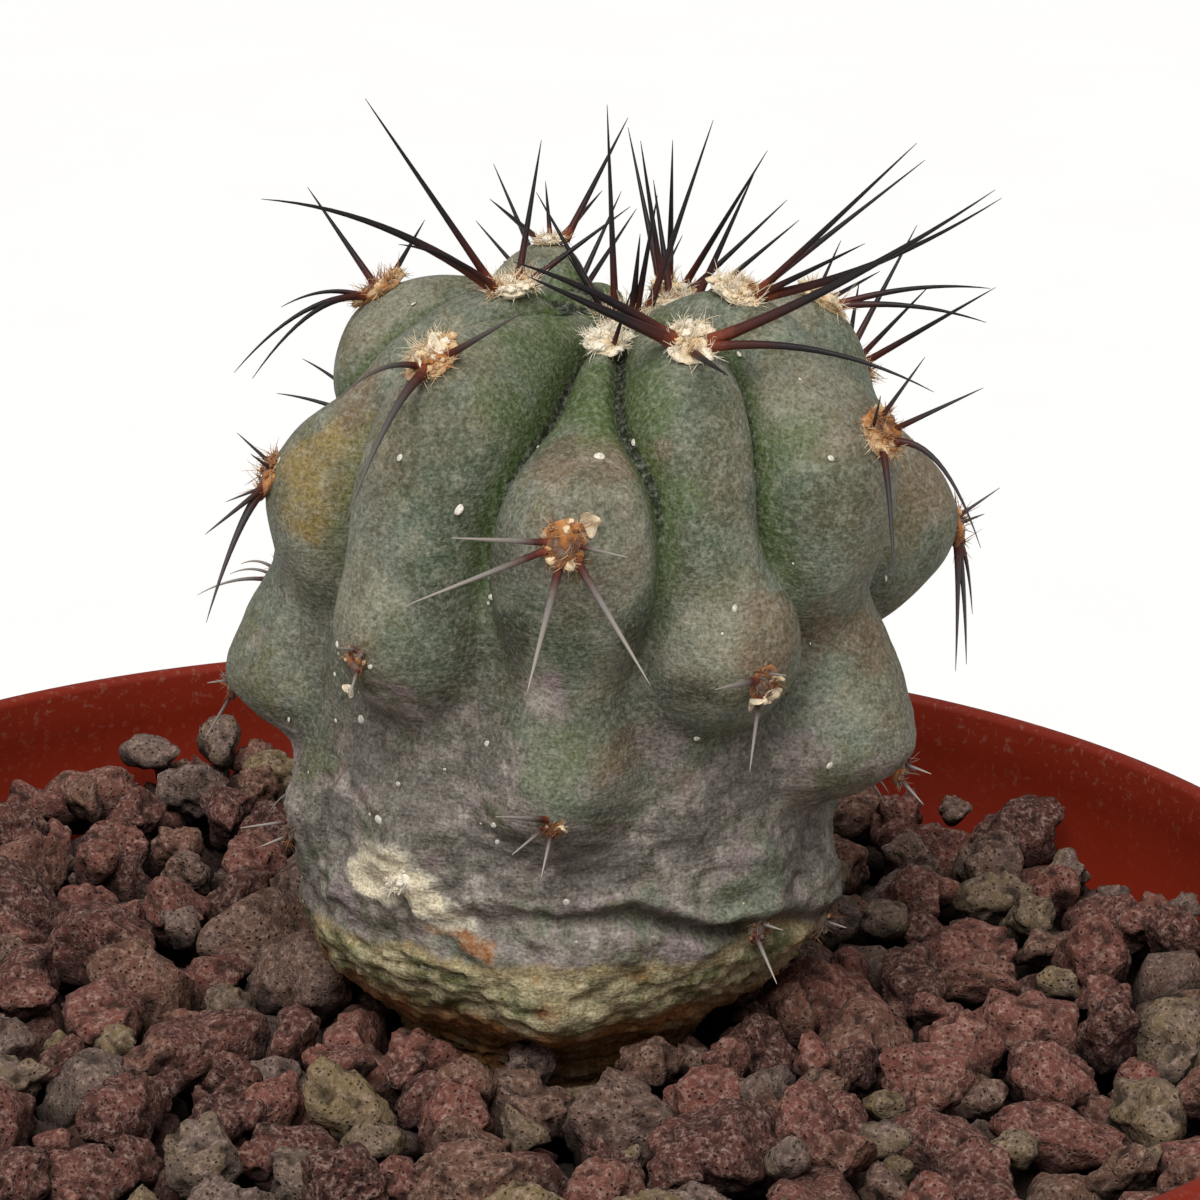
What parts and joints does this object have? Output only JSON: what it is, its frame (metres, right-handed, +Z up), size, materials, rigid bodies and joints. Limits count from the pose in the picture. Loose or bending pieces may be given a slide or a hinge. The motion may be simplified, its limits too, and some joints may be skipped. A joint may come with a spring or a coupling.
{
  "type": "potted cactus",
  "caption": "Small globular cactus with spirally set tubercles and long dark spines, growing in lava grit in a round plastic nursery pot.",
  "frame": {"origin": "middle of the pot's foot, on the surface that it stands on", "axes": "+Z up; the side seen in the picture faces -Y, with +X to its right"},
  "size_m": [0.095, 0.095, 0.1204],
  "materials": {
    "pot_plastic": "satin moulded plastic, dusty at the rim",
    "lava": "rough porous rock",
    "stem_skin": "matte, finely granular plant skin",
    "young_wool": "dense pale wool with hard dark spines",
    "old_felt": "matted brown felt with hard spines"
  },
  "bodies": {
    "root": {"pot": "pot_plastic", "lava_grit": "lava", "stem": "stem_skin", "crown_wool": "young_wool", "areole_03": "young_wool", "areole_04": "young_wool", "areole_05": "young_wool", "areole_06": "young_wool", "areole_07": "young_wool", "areole_08": "young_wool", "areole_09": "young_wool", "areole_10": "young_wool", "areole_11": "young_wool", "areole_12": "old_felt", "areole_13": "old_felt", "areole_14": "old_felt", "areole_15": "old_felt", "areole_16": "old_felt", "areole_17": "old_felt", "areole_18": "old_felt", "areole_19": "old_felt", "areole_20": "old_felt", "areole_21": "old_felt", "areole_22": "old_felt", "areole_23": "old_felt", "areole_24": "old_felt", "areole_25": "old_felt", "areole_26": "old_felt", "areole_27": "old_felt", "areole_28": "old_felt", "areole_29": "old_felt", "areole_30": "old_felt", "areole_31": "old_felt", "areole_32": "old_felt", "areole_33": "old_felt", "areole_34": "old_felt", "areole_35": "old_felt", "areole_36": "old_felt", "areole_37": "old_felt", "areole_39": "old_felt"}
  },
  "joints": []
}
